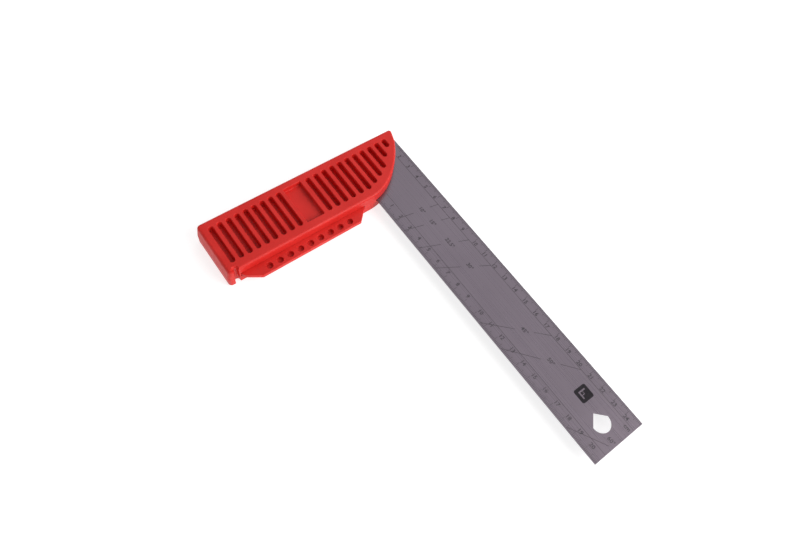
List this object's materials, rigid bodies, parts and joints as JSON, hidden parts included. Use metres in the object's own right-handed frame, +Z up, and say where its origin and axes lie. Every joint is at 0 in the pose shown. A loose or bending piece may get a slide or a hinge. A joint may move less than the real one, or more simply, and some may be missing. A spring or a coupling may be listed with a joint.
{
  "type": "combination square",
  "caption": "Layout square with a slotted red two-part stock, a steel rule blade with a pointed hanging hole, and a dimpled support ledge that slides into the fence.",
  "frame": {"origin": "centre of the whole square's box, at the level of the stock's lower face", "axes": "+X along the blade from the stock to the blade's tip; +Y along the stock towards the end that holds the blade; +Z up, across the stock's thickness"},
  "size_m": [0.25, 0.15, 0.016],
  "materials": {
    "red_plastic": "moulded, slightly satin",
    "ledge_plastic": "moulded, slightly satin",
    "stainless_blade": "brushed along its length, etched dark scales",
    "bright_steel": "turned, bright",
    "spring_steel": "dark tempered strip"
  },
  "bodies": {
    "stock": {"stock_upper_shell": "red_plastic", "stock_lower_shell": "red_plastic", "blade": "stainless_blade", "blade_dowel_1": "bright_steel", "blade_dowel_2": "bright_steel", "ledge_guide_pin_1": "bright_steel", "ledge_guide_pin_2": "bright_steel", "ledge_spring_1": "spring_steel", "ledge_spring_2": "spring_steel", "stock_screw_1": "bright_steel", "stock_screw_2": "bright_steel", "stock_screw_3": "bright_steel", "stock_screw_4": "bright_steel", "stock_screw_5": "bright_steel", "stock_screw_6": "bright_steel", "stock_screw_7": "bright_steel"},
    "ledge": {"support_ledge": "ledge_plastic"}
  },
  "joints": [
    {"name": "ledge_slide", "type": "slide", "parent": "stock", "child": "ledge", "axis": [-1, 0, 0], "range_m": [0, 0.008]}
  ]
}
